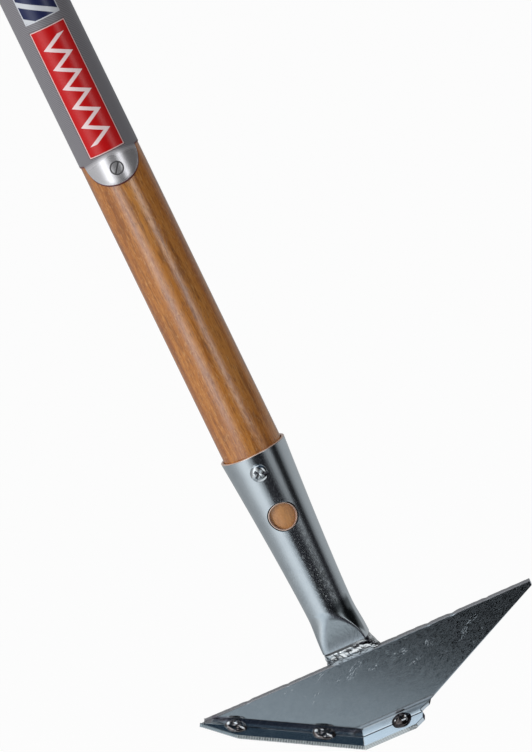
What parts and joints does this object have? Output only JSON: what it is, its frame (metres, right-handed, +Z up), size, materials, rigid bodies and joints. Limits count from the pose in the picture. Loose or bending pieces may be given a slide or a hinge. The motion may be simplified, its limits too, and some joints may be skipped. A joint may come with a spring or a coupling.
{
  "type": "paving joint scraper",
  "caption": "Long handled paving joint scraper: wooden handle in a swaged zinc-plated socket, welded to a folded steel blade with a serrated and a plain scraping strip.",
  "frame": {"origin": "on the edge face of the plain strip, at the middle of its thickness, straight below the handle's axis", "axes": "+Z up along the handle's axis, -Y the front to which the blade's flange is folded, +X towards the long pointed wing"},
  "size_m": [0.1653, 0.0335, 1.5847],
  "materials": {
    "lacquered_wood": "clear lacquered hardwood, fine grain along the handle, half gloss",
    "label_foil": "printed metallic grey foil, half gloss",
    "bright_zinc": "bright zinc plate on swaged tube, glossy, faint drawing marks",
    "zinc_screw": "bright zinc plate",
    "weld_metal": "rippled weld bead under bright zinc plate",
    "blade_zinc": "blue-grey zinc plate on rolled steel, satin, small scratches and nicks",
    "serrated_steel": "zinc plated strip with fine cut teeth",
    "plain_steel": "zinc plated strip, ground edge",
    "tack_metal": "rough domed tack weld under zinc plate, glossy"
  },
  "bodies": {
    "root": {"handle": "lacquered_wood", "label_wrap": "label_foil", "socket": "bright_zinc", "socket_screw": "zinc_screw", "socket_weld": "weld_metal", "blade_plate": "blade_zinc", "serrated_strip": "serrated_steel", "plain_strip": "plain_steel", "tack_weld_tip": "tack_metal", "tack_weld_middle": "tack_metal", "tack_weld_corner": "tack_metal"}
  },
  "joints": []
}
